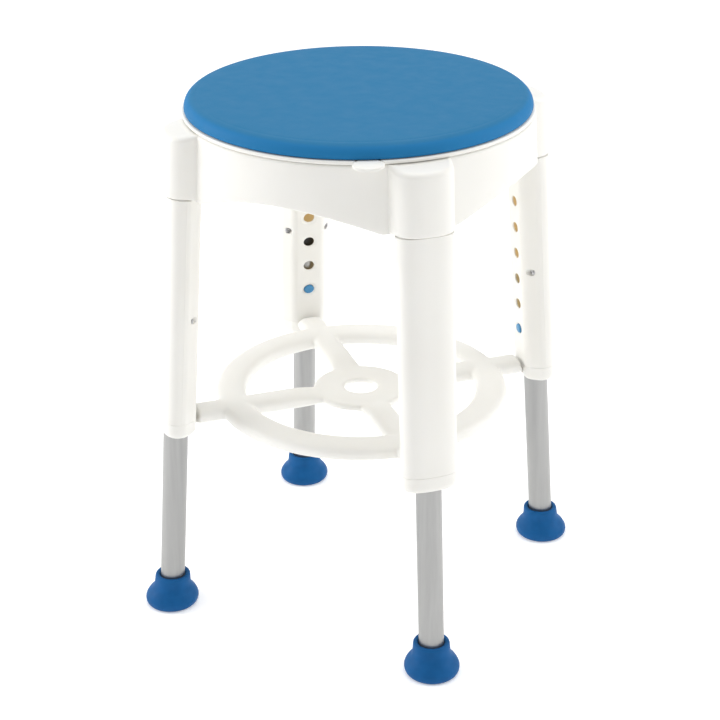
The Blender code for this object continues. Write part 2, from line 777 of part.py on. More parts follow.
def build_footrest():
    """The footrest: a ring, a pierced hub and four arms whose tongues plug into the end collars."""
    bm = bmesh.new()
    rings = []
    for i in range(ROUND_STEPS):
        t = 2 * math.pi * i / ROUND_STEPS
        out = Vector((math.cos(t), math.sin(t), 0.0))
        along = Vector((-math.sin(t), math.cos(t), 0.0))
        rings.append(
            ellipse_ring(out * RING_R + Vector((0.0, 0.0, RING_Z)), along, RING_HALF_W, RING_HALF_H, 10)
        )
    loft(bm, rings, closed=True)
    footrest = object_from(bm, "footrest_ring", white_plastic())
    bm = bmesh.new()
    low, high = RING_HUB_BOTTOM_Z, RING_HUB_TOP_Z
    turned(
        bm,
        (
            (RING_HUB_HOLE_R, high - 0.0042), (RING_HUB_HOLE_R + 0.004, low), (RING_HUB_R - 0.003, low),
            (RING_HUB_R, low + 0.0025), (RING_HUB_R, high - 0.0025), (RING_HUB_R - 0.003, high),
            (RING_HUB_HOLE_R + 0.0012, high), (RING_HUB_HOLE_R, high - 0.0010),
        ),
        28,
        closed=True,
    )
    combine(footrest, cutter_from(bm, "footrest_hub"), "UNION")
    for leg, degrees in LEGS:
        angle = math.radians(degrees)
        out = Vector((math.cos(angle), math.sin(angle), 0.0))
        bm = bmesh.new()
        rings = []
        for r, half_w in ((0.030, ARM_HALF_W + 0.002), (0.055, ARM_HALF_W), (ARM_END, ARM_HALF_W)):
            center = out * r + Vector((0.0, 0.0, RING_Z))
            rings.append(ellipse_ring(center, out, half_w, ARM_HALF_H, 12))
        lean = math.tan(LEG_LEAN)
        rings[-1] = [point - out * (lean * (point.z - RING_Z)) for point in rings[-1]]
        loft(bm, rings)
        combine(footrest, cutter_from(bm, leg + "_footrest_arm"), "UNION")
        axis_empty = bpy.data.objects[leg + "_leg_axis"]
        combine(footrest, tongue_block(leg + "_footrest_tongue", axis_empty, 0.0), "UNION")
    return footrest


def main():
    clear_scene()
    scene = bpy.context.scene
    scene.unit_settings.system = "METRIC"
    seat = bpy.data.objects.new("swivel_axis", None)
    scene.collection.objects.link(seat)
    build_pad(seat)
    build_swivel_plate(seat)
    build_release_tab(seat)
    build_pivot(seat)
    build_glide_ring(None)
    frame = build_seat_frame()
    for leg, degrees in LEGS:
        build_leg(leg, degrees, frame)
    build_footrest()


main()
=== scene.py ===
import math

import bmesh
import bpy
from mathutils import Matrix, Vector


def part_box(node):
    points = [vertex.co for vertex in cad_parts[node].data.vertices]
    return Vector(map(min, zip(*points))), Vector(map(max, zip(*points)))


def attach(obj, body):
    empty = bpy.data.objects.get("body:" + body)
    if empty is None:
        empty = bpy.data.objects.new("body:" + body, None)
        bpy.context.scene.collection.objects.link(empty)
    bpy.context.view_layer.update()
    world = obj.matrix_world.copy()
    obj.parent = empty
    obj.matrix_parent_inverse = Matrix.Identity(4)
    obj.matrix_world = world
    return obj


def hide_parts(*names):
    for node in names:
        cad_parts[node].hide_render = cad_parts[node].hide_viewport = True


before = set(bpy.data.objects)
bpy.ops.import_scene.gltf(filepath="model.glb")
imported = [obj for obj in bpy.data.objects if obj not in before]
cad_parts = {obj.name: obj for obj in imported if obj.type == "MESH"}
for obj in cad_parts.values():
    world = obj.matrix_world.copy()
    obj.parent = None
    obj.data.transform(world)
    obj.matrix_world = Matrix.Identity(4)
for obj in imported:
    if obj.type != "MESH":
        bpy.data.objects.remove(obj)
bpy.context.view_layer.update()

# Seat pad ---------------------------------------------------------------------
# The cushion is a round slab of closed-cell foam with a matt blue skin, moulded in one
# piece: a flat top, a soft crease where the rounded shoulder starts, and an upright edge
# tucked in at the bottom. It is glued to the turning plate.

PAD_LOW, PAD_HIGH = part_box("seat_pad")
PAD_RADIUS = PAD_HIGH.x
PAD_SHOULDER = 0.0108
PAD_CROWN = 0.0007
PAD_TUCK = 0.0016
LATHE_STEPS = 160


def put_down():
    """Leaves edit mode with nothing selected."""
    if bpy.context.mode != "OBJECT":
        bpy.ops.object.mode_set(mode="OBJECT")
    bpy.ops.object.select_all(action="DESELECT")


def pick_up(piece):
    put_down()
    piece.select_set(True)
    bpy.context.view_layer.objects.active = piece


def clean_skin(piece, smooth_angle=35.0):
    """Merges doubled points, turns every face outwards and sets smooth shading with crisp edges."""
    pick_up(piece)
    bpy.ops.object.mode_set(mode="EDIT")
    bpy.ops.mesh.select_all(action="SELECT")
    bpy.ops.mesh.remove_doubles(threshold=0.00001)
    bpy.ops.mesh.normals_make_consistent(inside=False)
    bpy.ops.object.mode_set(mode="OBJECT")
    bpy.ops.object.shade_smooth_by_angle(angle=math.radians(smooth_angle))
    put_down()


def flatten_faces(piece):
    """Keeps wide flat faces evenly lit beside small rounded ones."""
    apply_modifier(piece, "WEIGHTED_NORMAL", keep_sharp=True, weight=80)


def lathe(name, profile, steps=LATHE_STEPS, ring=False):
    """Spins (radius, height) points about the upright axis; a ring's profile closes on itself."""
    put_down()
    edges = [(i, i + 1) for i in range(len(profile) - 1)]
    if ring:
        edges.append((len(profile) - 1, 0))
    mesh = bpy.data.meshes.new(name)
    mesh.from_pydata([(r, 0.0, z) for r, z in profile], edges, [])
    piece = bpy.data.objects.new(name, mesh)
    bpy.context.scene.collection.objects.link(piece)
    pick_up(piece)
    bpy.ops.object.mode_set(mode="EDIT")
    bpy.ops.mesh.select_all(action="SELECT")
    bpy.ops.mesh.spin(steps=steps, angle=2 * math.pi, center=(0, 0, 0), axis=(0, 0, 1))
    bpy.ops.object.mode_set(mode="OBJECT")
    clean_skin(piece)
    return piece


def apply_modifier(piece, kind, **settings):
    """Adds one modifier, sets it and applies it."""
    pick_up(piece)
    modifier = piece.modifiers.new(kind.title(), kind)
    for name, value in settings.items():
        setattr(modifier, name, value)
    bpy.ops.object.modifier_apply(modifier=modifier.name)
    put_down()


def new_material(name, color, roughness, metallic=0.0):
    """A Principled material with its even values on the shader's own sockets."""
    mat = bpy.data.materials.new(name)
    mat.use_nodes = True
    shader = mat.node_tree.nodes["Principled BSDF"]
    shader.inputs["Base Color"].default_value = (*color, 1.0)
    shader.inputs["Roughness"].default_value = roughness
    shader.inputs["Metallic"].default_value = metallic
    return mat, mat.node_tree, shader


def grain(tree, scale, detail=3.0, stretch=None):
    """A noise pattern on the object's own coordinates, stretched where a finish runs one way."""
    coords = tree.nodes.new("ShaderNodeTexCoord")
    noise = tree.nodes.new("ShaderNodeTexNoise")
    noise.inputs["Scale"].default_value = scale
    noise.inputs["Detail"].default_value = detail
    source = coords.outputs["Object"]
    if stretch:
        mapping = tree.nodes.new("ShaderNodeMapping")
        mapping.inputs["Scale"].default_value = stretch
        tree.links.new(source, mapping.inputs["Vector"])
        source = mapping.outputs["Vector"]
    tree.links.new(source, noise.inputs["Vector"])
    return noise.outputs["Fac"]


def tint(tree, shader, pattern, low, high, spread=(0.35, 0.65)):
    """Lets the base colour drift between two tones along a pattern."""
    ramp = tree.nodes.new("ShaderNodeValToRGB")
    ramp.color_ramp.elements[0].position = spread[0]
    ramp.color_ramp.elements[1].position = spread[1]
    ramp.color_ramp.elements[0].color = (*low, 1.0)
    ramp.color_ramp.elements[1].color = (*high, 1.0)
    tree.links.new(pattern, ramp.inputs["Fac"])
    tree.links.new(ramp.outputs["Color"], shader.inputs["Base Color"])
    return ramp


def vary_roughness(tree, shader, pattern, low, high):
    span = tree.nodes.new("ShaderNodeMapRange")
    span.inputs["From Min"].default_value = 0.3
    span.inputs["From Max"].default_value = 0.7
    span.inputs["To Min"].default_value = low
    span.inputs["To Max"].default_value = high
    tree.links.new(pattern, span.inputs["Value"])
    tree.links.new(span.outputs["Result"], shader.inputs["Roughness"])


def emboss(tree, shader, pattern, depth, strength=0.6):
    """Turns a pattern into fine relief of the given depth in metres."""
    bump = tree.nodes.new("ShaderNodeBump")
    bump.inputs["Strength"].default_value = strength
    bump.inputs["Distance"].default_value = depth
    tree.links.new(pattern, bump.inputs["Height"])
    tree.links.new(bump.outputs["Normal"], shader.inputs["Normal"])
    return bump


def quarter_round(radius, height, steps=10, power=2.0):
    """Offsets (inwards, up) along a quarter of a super-ellipse, from the upright side to the flat top."""
    points = []
    for i in range(steps + 1):
        t = math.pi / 2 * i / steps
        inward = radius * (1.0 - math.cos(t) ** (2.0 / power))
        points.append((inward, height * math.sin(t) ** (2.0 / power)))
    return points


pad_side = PAD_LOW.z + PAD_TUCK
pad_profile = [(0.0, PAD_LOW.z), (PAD_RADIUS * 0.5, PAD_LOW.z), (PAD_RADIUS - 0.0045, PAD_LOW.z)]
pad_profile += [
    (PAD_RADIUS - 0.0014, PAD_LOW.z + 0.0002), (PAD_RADIUS - 0.0004, PAD_LOW.z + 0.0008),
]
for inward, rise in quarter_round(PAD_SHOULDER, PAD_HIGH.z - 0.0005 - pad_side, 14, 2.15):
    pad_profile.append((PAD_RADIUS - inward, pad_side + rise))
pad_rim = PAD_RADIUS - PAD_SHOULDER
pad_profile += [
    (pad_rim - 0.0010, PAD_HIGH.z - 0.00052), (pad_rim - 0.0021, PAD_HIGH.z - 0.00030),
    (pad_rim - 0.0036, PAD_HIGH.z - 0.00008),
]
for share in (0.94, 0.86, 0.76, 0.64, 0.50, 0.36, 0.22, 0.10, 0.0):
    crown = PAD_CROWN * (1.0 - share * share)
    pad_profile.append((pad_rim * share * 0.97, PAD_HIGH.z + crown))
pad = lathe("foam_seat_pad", pad_profile)
apply_modifier(pad, "SUBSURF", levels=1, render_levels=1)
foam_swell = bpy.data.textures.new("foam_swell", "CLOUDS")
foam_swell.noise_scale = 0.055
foam_swell.noise_depth = 1
apply_modifier(pad, "DISPLACE", texture=foam_swell, texture_coords="LOCAL", strength=0.00018, mid_level=0.5)
clean_skin(pad, 50)

foam, tree, shader = new_material("blue_foam_skin", (0.021, 0.174, 0.352), 0.66)
shader.inputs["Specular IOR Level"].default_value = 0.14
# Painted light: the base colour follows the way the skin faces, a greyer blue on the flat top and a more
# saturated blue where it turns down the sides, as the light falls on them; a little noise breaks up the
# change.
facing = tree.nodes.new("ShaderNodeTexCoord")
upright = tree.nodes.new("ShaderNodeSeparateXYZ")
painted_top_tone_and_speckle = tree.nodes.new("ShaderNodeMath")
painted_top_tone_and_speckle.operation = "MULTIPLY_ADD"
painted_top_tone_and_speckle.inputs[1].default_value = 0.10
tree.links.new(facing.outputs["Normal"], upright.inputs["Vector"])
tree.links.new(grain(tree, 420.0, 3.0), painted_top_tone_and_speckle.inputs[0])
tree.links.new(upright.outputs["Z"], painted_top_tone_and_speckle.inputs[2])
tint(tree, shader, painted_top_tone_and_speckle.outputs[0], (0.014, 0.172, 0.396), (0.020, 0.165, 0.335), (0.82, 1.02))
vary_roughness(tree, shader, grain(tree, 55.0, 3.0), 0.56, 0.68)
emboss(tree, shader, grain(tree, 1500.0, 2.0), 0.00008, 0.4)
pad.data.materials.append(foam)
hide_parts("seat_pad")
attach(pad, "seat")

# Turning plate -----------------------------------------------------------------
# The pad sits on a white moulded plate that turns on the frame. Only its rounded rim
# shows, with a notch on one side for the release tab. A hub under its centre takes the
# pivot bolt.

PLATE_LOW, PLATE_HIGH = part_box("swivel_plate")
PLATE_RADIUS = PLATE_HIGH.x
PLATE_UNDER, PLATE_LIP = 0.4920, 0.4916
PLATE_HUB = 0.0140
PLATE_BORE = 0.0053
BOLT_POCKET = 0.0103
BOLT_POCKET_Z = 0.4921
TAB_ANGLE = math.radians(-61.0)
TAB_ROOT = 0.1500
TAB_TIP = 0.1772
TAB_HALF = 0.0090
TAB_FLARE = 0.0050
TAB_DROOP = 0.0022

rim_mid = (PLATE_LIP + PLATE_HIGH.z) / 2
rim_half = (PLATE_HIGH.z - PLATE_LIP) / 2
plate_profile = [
    (PLATE_BORE, PLATE_LOW.z), (PLATE_HUB - 0.0008, PLATE_LOW.z), (PLATE_HUB, PLATE_LOW.z + 0.0008),
    (PLATE_HUB, PLATE_UNDER - 0.0012), (PLATE_HUB + 0.0012, PLATE_UNDER),
    (PLATE_RADIUS - 0.0052, PLATE_UNDER), (PLATE_RADIUS - 0.0046, PLATE_LIP),
]
for i in range(9):
    t = math.radians(-90.0 + 22.5 * i)
    plate_profile.append((PLATE_RADIUS - 0.0009 + 0.0009 * math.cos(t), rim_mid + rim_half * math.sin(t)))
plate_profile += [
    (PLATE_RADIUS - 0.0060, PLATE_HIGH.z), (BOLT_POCKET, PLATE_HIGH.z), (BOLT_POCKET, BOLT_POCKET_Z),
    (PLATE_BORE, BOLT_POCKET_Z),
]
plate = lathe("turning_plate", plate_profile, ring=True)


def tab_plan(grow, neck):
    """Plan of the release tab: a narrow neck in the plate that widens to a rounded finger pad."""
    half = TAB_HALF + grow
    wide = half + TAB_FLARE
    round_at = TAB_TIP - 0.0090
    points = [(TAB_ROOT - grow, -half - neck), (PLATE_RADIUS - 0.0034, -half - neck)]
    points.append((PLATE_RADIUS + 0.0004, -half - 0.0040 - neck))
    for i in range(17):
        t = math.radians(-84.0 + 10.5 * i)
        reach = (0.0090 + grow) * math.cos(t)
        points.append((round_at + reach, wide * math.copysign(abs(math.sin(t)) ** 0.8, math.sin(t))))
    points.append((PLATE_RADIUS + 0.0004, half + 0.0040 + neck))
    points += [(PLATE_RADIUS - 0.0034, half + neck), (TAB_ROOT - grow, half + neck)]
    return points


def flat_plate(name, outline, low, high):
    """A flat outline filled and extruded upwards."""
    put_down()
    mesh = bpy.data.meshes.new(name)
    mesh.from_pydata([(x, y, low) for x, y in outline], [], [tuple(range(len(outline)))])
    piece = bpy.data.objects.new(name, mesh)
    bpy.context.scene.collection.objects.link(piece)
    pick_up(piece)
    bpy.ops.object.mode_set(mode="EDIT")
    bpy.ops.mesh.select_all(action="SELECT")
    bpy.ops.mesh.extrude_region_move(TRANSFORM_OT_translate={"value": (0, 0, high - low)})
    bpy.ops.object.mode_set(mode="OBJECT")
    clean_skin(piece)
    return piece


def cut(piece, cutter, operation="DIFFERENCE"):
    """Cuts one piece with another, or joins them, and removes the tool."""
    apply_modifier(piece, "BOOLEAN", object=cutter, operation=operation, solver="EXACT")
    bpy.data.objects.remove(cutter, do_unlink=True)


notch = flat_plate("notch_tool", tab_plan(0.0007, 0.0009), PLATE_UNDER - 0.003, PLATE_HIGH.z + 0.003)
notch.data.transform(Matrix.Rotation(TAB_ANGLE, 4, "Z"))
cut(plate, notch)
clean_skin(plate)

white, tree, shader = new_material("white_moulded_plastic", (0.84, 0.83, 0.79), 0.40)
shader.inputs["Specular IOR Level"].default_value = 0.5
shader.inputs["Subsurface Weight"].default_value = 0.08
shader.inputs["Subsurface Radius"].default_value = (0.0030, 0.0026, 0.0020)
tint(tree, shader, grain(tree, 9.0, 3.0), (0.835, 0.822, 0.780), (0.862, 0.852, 0.815))
vary_roughness(tree, shader, grain(tree, 70.0, 4.0), 0.36, 0.47)
emboss(tree, shader, grain(tree, 1300.0, 2.0), 0.00005, 0.35)
plate.data.materials.append(white)
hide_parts("swivel_plate")
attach(plate, "seat")

# Release tab -------------------------------------------------------------------
# A finger tab moulded in the plate's rim. Two slots free it, so that it flexes down when
# it's pressed and frees the seat. Its tip turns down a little and its edges are rounded.

tab = flat_plate("release_tab", tab_plan(0.0, 0.0), PLATE_UNDER, PLATE_HIGH.z)
pick_up(tab)
bpy.ops.object.mode_set(mode="EDIT")
for past_rim in (-0.001, 0.004, 0.008):
    bpy.ops.mesh.select_all(action="SELECT")
    bpy.ops.mesh.bisect(plane_co=(PLATE_RADIUS + past_rim, 0, 0), plane_no=(1, 0, 0))
bpy.ops.object.mode_set(mode="OBJECT")
for vertex in tab.data.vertices:
    beyond = max(0.0, vertex.co.x - PLATE_RADIUS) / (TAB_TIP - PLATE_RADIUS)
    vertex.co.z -= TAB_DROOP * beyond * beyond
apply_modifier(tab, "BEVEL", width=0.00075, segments=3, limit_method="ANGLE", angle_limit=math.radians(50))
tab.data.transform(Matrix.Rotation(TAB_ANGLE, 4, "Z"))
clean_skin(tab)
tab.data.materials.append(white)
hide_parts("seat_release_tab")
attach(tab, "release_tab")

# Seat frame --------------------------------------------------------------------
# One large moulding in white plastic: a flat deck under the plate, an apron that leans
# out and arches up between the legs, and four rounded corner bosses. Each boss has a
# socket from below that takes the top of a leg sleeve.

LEGS = (("front_left", -135.0), ("front_right", -45.0), ("rear_right", 45.0), ("rear_left", 135.0))
DECK_TOP = 0.4912
DECK_UNDER = 0.4840
SHOULDER = 0.1636
APRON_FOOT = 0.1672
APRON_WALL = 0.0032
ARCH_LOW = 0.4290
ARCH_RISE = 0.0205
ARCH_START = math.radians(12.5)
BOSS_HALF = 0.0284
BOSS_REACH = 0.0184
BOSS_NOSE = 0.0260
BOSS_POWER = 3.0
BOSS_SLOPE = 0.12
BOSS_LOW = 0.4316
FLARE_LENGTH = 0.0100
FLARE_WIDTH = 0.0050
LEG_FOOT_AT = 0.2015
LEG_SLOPE = 0.0685
TOP_ROUND, BOSS_TOP_ROUND = 0.0030, 0.0052
LIP_ROUND = 0.0016
BOSS_SPREAD = (
    0.0, 1.3, 2.6, 3.9, 5.0, 5.8, 6.4, 6.9, 7.3, 7.7, 8.0,
    8.25, 8.5, 8.75, 9.0, 9.3, 9.7, 10.1, 10.6, 11.2, 12.0, 13.2,
)
APRON_SPREAD = (14.6, 16.6, 19.0, 22.0, 25.0, 28.0, 31.0, 34.0, 37.0, 41.0, 45.0)


def leg_line(z):
    """Distance of a leg's axis from the swivel axis at a height."""
    return LEG_FOOT_AT - LEG_SLOPE * z


def apron_line(z):
    """Distance of the apron's outer face from the swivel axis at a height."""
    share = min(max((DECK_TOP - z) / (DECK_TOP - ARCH_LOW), 0.0), 1.0)
    return SHOULDER + (APRON_FOOT - SHOULDER) * share


def boss_half(r, z):
    """Half width of a corner boss at a distance from the swivel axis."""
    nose = leg_line(z) + BOSS_REACH
    start = nose - BOSS_NOSE
    near = max(0.0, 1.0 - (r - apron_line(z)) / FLARE_LENGTH)
    side = BOSS_HALF + FLARE_WIDTH * near * near
    if r <= start:
        return side
    share = min(1.0, (r - start) / (nose - start))
    return min(side, BOSS_HALF * (1.0 - share ** BOSS_POWER) ** (1.0 / BOSS_POWER))


def frame_reach(away, z):
    """Distance of the frame's outer face from the swivel axis, at an angle away from the leg."""
    away = abs(away)
    low, high = apron_line(z), leg_line(z) + BOSS_REACH
    if low * math.sin(away) >= boss_half(low, z):
        return low
    for _ in range(36):
        middle = (low + high) / 2
        if middle * math.sin(away) < boss_half(middle, z):
            low = middle
        else:
            high = middle
    return (low + high) / 2


def smooth_step(value, low, high):
    share = min(max((value - low) / (high - low), 0.0), 1.0)
    return share * share * (3.0 - 2.0 * share)


def lower_edge(away):
    """Height of the apron's lower edge: level under the bosses, arched between them."""
    away = abs(away)
    share = min(max((away - ARCH_START) / (math.pi / 4 - ARCH_START), 0.0), 1.0)
    arch = ARCH_LOW + ARCH_RISE * math.sin(math.pi * share / 2) ** 0.9
    return BOSS_LOW + (arch - BOSS_LOW) * smooth_step(away, math.radians(9.0), math.radians(10.2))


def upper_edge(away):
    """Height of the frame's top face: flat deck, with the bosses sloping away a little."""
    return DECK_TOP - BOSS_SLOPE * (frame_reach(away, DECK_TOP) - SHOULDER)


def outer_point(turn, away, z, inset):
    """A point of the outer face, moved in by a distance square to the face."""
    step = math.radians(0.05)
    here = frame_reach(away, z)
    point = Vector((here * math.cos(turn), here * math.sin(turn), z))
    if inset:
        before, after = frame_reach(away - step, z), frame_reach(away + step, z)
        along = Vector((
            after * math.cos(turn + step) - before * math.cos(turn - step),
            after * math.sin(turn + step) - before * math.sin(turn - step), 0.0,
        )).normalized()
        point -= Vector((along.y, -along.x, 0.0)) * inset
    return point


spread = [math.radians(a) for a in BOSS_SPREAD + APRON_SPREAD]
around = []
for _, degrees in LEGS:
    around += [(math.radians(degrees) - a, -a) for a in reversed(spread[:-1])]
    around += [(math.radians(degrees) + a, a) for a in spread[1:]]


def skin_rings(name, rings, capped=True):
    """Extrudes a loop of points from one ring to the next, and caps both ends."""
    put_down()
    bpy.ops.mesh.primitive_circle_add(vertices=len(rings[0]), radius=1.0, fill_type="NOTHING")
    piece = bpy.context.object
    piece.name = piece.data.name = name
    for vertex, place in zip(piece.data.vertices, rings[0]):
        vertex.co = place
    bpy.ops.object.mode_set(mode="EDIT")
    bpy.ops.mesh.select_all(action="SELECT")
    if capped:
        bpy.ops.mesh.edge_face_add()
        bpy.ops.mesh.select_all(action="SELECT")
    for ring in rings[1:]:
        bpy.ops.mesh.extrude_region_move()
        skin = bmesh.from_edit_mesh(piece.data)
        skin.verts.ensure_lookup_table()
        fresh = [v for v in skin.verts if v.select]
        fresh.sort(key=lambda v: v.index)
        for vertex, place in zip(fresh, ring):
            vertex.co = place
        bmesh.update_edit_mesh(piece.data)
    bpy.ops.object.mode_set(mode="OBJECT")
    return piece


def wall_ring(inset_of, height_of):
    return [outer_point(turn, away, height_of(away), inset_of(away)) for turn, away in around]


def round_ring(reach_of, height_of):
    return [
        Vector((reach_of(away) * math.cos(turn), reach_of(away) * math.sin(turn), height_of(away)))
        for turn, away in around
    ]


def top_round(away):
    """Radius of the top edge: larger round the bosses than along the apron."""
    share = smooth_step(frame_reach(away, DECK_TOP), SHOULDER, SHOULDER + 0.009)
    return TOP_ROUND + (BOSS_TOP_ROUND - TOP_ROUND) * share


rings = [round_ring(lambda a: SHOULDER - 0.0056, lambda a: DECK_TOP)]
for i in range(9):
    t = math.radians(11.25 * i)
    rings.append(wall_ring(
        lambda a, c=1.0 - math.sin(t): top_round(a) * c,
        lambda a, c=1.0 - math.cos(t): upper_edge(a) - top_round(a) * c,
    ))
for share in (0.12, 0.25, 0.4, 0.55, 0.7, 0.85):
    rings.append(wall_ring(lambda a: 0.0, lambda a, s=share: (
        (upper_edge(a) - top_round(a)) * (1.0 - s) + (lower_edge(a) + LIP_ROUND) * s
    )))
for i in range(5):
    t = math.radians(22.5 * i)
    rings.append(wall_ring(
        lambda a, c=1.0 - math.cos(t): LIP_ROUND * c,
        lambda a, c=1.0 - math.sin(t): lower_edge(a) + LIP_ROUND * c,
    ))
rings.append(round_ring(lambda a: apron_line(lower_edge(a)) - APRON_WALL, lower_edge))
rings.append(round_ring(lambda a: SHOULDER - APRON_WALL - 0.0010, lambda a: DECK_UNDER - 0.0020))
rings.append(round_ring(lambda a: SHOULDER - APRON_WALL - 0.0030, lambda a: DECK_UNDER))
seat_frame = skin_rings("moulded_seat_frame", rings)
clean_skin(seat_frame)

HUB_RADIUS = 0.0230
HUB_UNDER = 0.4768
HUB_BORE = 0.0144
TRACK_INNER, TRACK_OUTER, TRACK_FLOOR = 0.1077, 0.1223, 0.4870
hub = lathe("hub_tool", [
    (0.0, HUB_UNDER), (HUB_RADIUS - 0.0012, HUB_UNDER), (HUB_RADIUS, HUB_UNDER + 0.0012),
    (HUB_RADIUS + 0.0006, DECK_UNDER + 0.0010), (0.0, DECK_UNDER + 0.0010),
], 64)
cut(seat_frame, hub, "UNION")
cut(seat_frame, lathe("bore_tool", [
    (0.0, HUB_UNDER - 0.002), (HUB_BORE, HUB_UNDER - 0.002),
    (HUB_BORE, DECK_TOP + 0.002), (0.0, DECK_TOP + 0.002),
], 64))
cut(seat_frame, lathe("track_tool", [
    (TRACK_INNER, TRACK_FLOOR), (TRACK_OUTER, TRACK_FLOOR),
    (TRACK_OUTER, DECK_TOP + 0.002), (TRACK_INNER, DECK_TOP + 0.002),
], 128, ring=True))

# The sleeve's section is shared by the sockets in the frame and by all the sleeve pieces:
# rounded towards the outside, wedge-shaped towards the seat's axis, with a flat hole face.
# It's drawn in the leg's own frame, X outwards, Y across and Z up along the leg.

SPLIT = 0.0007
FACE_X = 0.0165
FACE_HALF = 0.0166
LOW_Z, HIGH_Z = 0.1915, 0.4810
WIDTH_LOW, WIDTH_HIGH = 0.0260, 0.0268
REACH_LOW, REACH_HIGH = 0.0160, 0.0165
SECTION_POWER = 2.7
SPIGOT = 0.0018
SLEEVE_SHOULDER = 0.4306
LEG_LEAN = math.atan(LEG_SLOPE)


def leg_frame(degrees):
    """The leg's own frame, with its origin on the floor."""
    angle = math.radians(degrees)
    foot_at = Vector((LEG_FOOT_AT * math.cos(angle), LEG_FOOT_AT * math.sin(angle), 0.0))
    lean = Matrix.Rotation(angle, 4, "Z") @ Matrix.Rotation(-LEG_LEAN, 4, "Y")
    return Matrix.Translation(foot_at) @ lean


def rounded_corners(points, radius, steps=6):
    """An open outline with an arc-like curve at each inner corner."""
    out = [Vector(points[0])]
    for before, here, after in zip(points, points[1:], points[2:]):
        before, here, after = Vector(before), Vector(here), Vector(after)
        size = min(radius, (here - before).length * 0.49, (after - here).length * 0.49)
        start = here + (before - here).normalized() * size
        end = here + (after - here).normalized() * size
        for i in range(steps + 1):
            t = i / steps
            out.append(start * (1 - t) ** 2 + here * (2 * t * (1 - t)) + end * t * t)
    out.append(Vector(points[-1]))
    return out


def section_size(z):
    share = (z - LOW_Z) / (HIGH_Z - LOW_Z)
    return WIDTH_LOW + (WIDTH_HIGH - WIDTH_LOW) * share, REACH_LOW + (REACH_HIGH - REACH_LOW) * share


def back_outline(z, grow=0.0, steps=40):
    """Rounded outer half of the sleeve section, from one seam to the other."""
    width, reach = section_size(z)
    points = []
    for i in range(steps + 1):
        t = -math.pi / 2 + math.pi * i / steps
        out = max(math.cos(t), 0.0) ** (2.0 / SECTION_POWER)
        across = math.copysign(abs(math.sin(t)) ** (2.0 / SECTION_POWER), t)
        points.append(Vector((SPLIT + (reach - SPLIT + grow) * out, (width + grow) * across)))
    return points


def face_outline(z, grow=0.0):
    """Wedge-shaped inner half of the section, from one seam round the flat face to the other."""
    width = section_size(z)[0] + grow
    face, half = -FACE_X - grow, FACE_HALF + 0.6 * grow
    points = [
        (SPLIT, width), (SPLIT - 0.0040, width - 0.0006),
        (face + 0.0026, half + 0.0012), (face, half - 0.0030),
        (face, -half + 0.0030), (face + 0.0026, -half - 0.0012),
        (SPLIT - 0.0040, -width + 0.0006), (SPLIT, -width),
    ]
    return rounded_corners(points, 0.0036, 5)


def whole_outline(z, grow=0.0):
    return back_outline(z, grow) + face_outline(z, grow)[1:-1]


def at_height(outline, z):
    return [Vector((point[0], point[1], z)) for point in outline]


for leg, degrees in LEGS:
    socket = skin_rings("socket_tool", [
        at_height(whole_outline(z, 0.0003 - SPIGOT), z) for z in (BOSS_LOW - 0.020, HIGH_Z + 0.0005)
    ])
    clean_skin(socket)
    socket.data.transform(leg_frame(degrees))
    cut(seat_frame, socket)
clean_skin(seat_frame, 30)
seat_frame.data.materials.append(white)
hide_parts("seat_frame")
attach(seat_frame, "frame")

# Leg sleeves ---------------------------------------------------------------------
# Each leg has a white sleeve in two half shells that close round the tube: a rounded
# outer one, and an inner one whose flat face has six dished oval holes for the button.
# Two screws in counterbores hold the halves together.

BORE = 0.01225
SHELL_LOW = 0.2063
HOLE_PITCH = 0.02754
HOLE_FIRST = 0.2435
HOLE_HALF_W, HOLE_HALF_H = 0.0057, 0.0050
HOLE_LIP, HOLE_RELIEF = 0.0018, 0.0026
SCREW_AT, SCREW_OUT = 0.3114, 0.0206
SCREW_SEAT, SCREW_SINK, SCREW_CLEAR = 0.0068, 0.0033, 0.0019
SEAM_GROOVE = 0.00004


def half_shell(name, outline_of, seam):
    """One half of a sleeve: the section's outline outside and half of the bore inside, drawn up the leg."""
    rings = []
    for z, inset in (
        (SHELL_LOW, 0.0002), (SHELL_LOW + 0.0001, 0.0), (SLEEVE_SHOULDER + 0.0001, 0.0),
        (SLEEVE_SHOULDER + 0.0004, 0.0004), (SLEEVE_SHOULDER + 0.00045, SPIGOT), (HIGH_Z, SPIGOT),
    ):
        outer = [Vector((x + seam, y)) for x, y in outline_of(z, -inset)]
        turn = 1.0 if seam > 0 else -1.0
        bore = []
        reach = math.acos(turn * (SPLIT + seam) / BORE)
        for i in range(25):
            t = reach - 2 * reach * i / 24
            bore.append(Vector((turn * BORE * math.cos(t), turn * BORE * math.sin(t))))
        rings.append(at_height(outer + bore, z))
    piece = skin_rings(name, rings)
    clean_skin(piece, 32)
    return piece


def oval_tool(stations, center_z, steps=40):
    """An oval cutter along X through (x, half width, half height) stations, centred up the leg."""
    rings = []
    for x, wide, high in stations:
        rings.append([
            Vector((x, wide * math.cos(t), center_z + high * math.sin(t)))
            for t in (2 * math.pi * i / steps for i in range(steps))
        ])
    piece = skin_rings("oval_tool", rings)
    clean_skin(piece)
    return piece


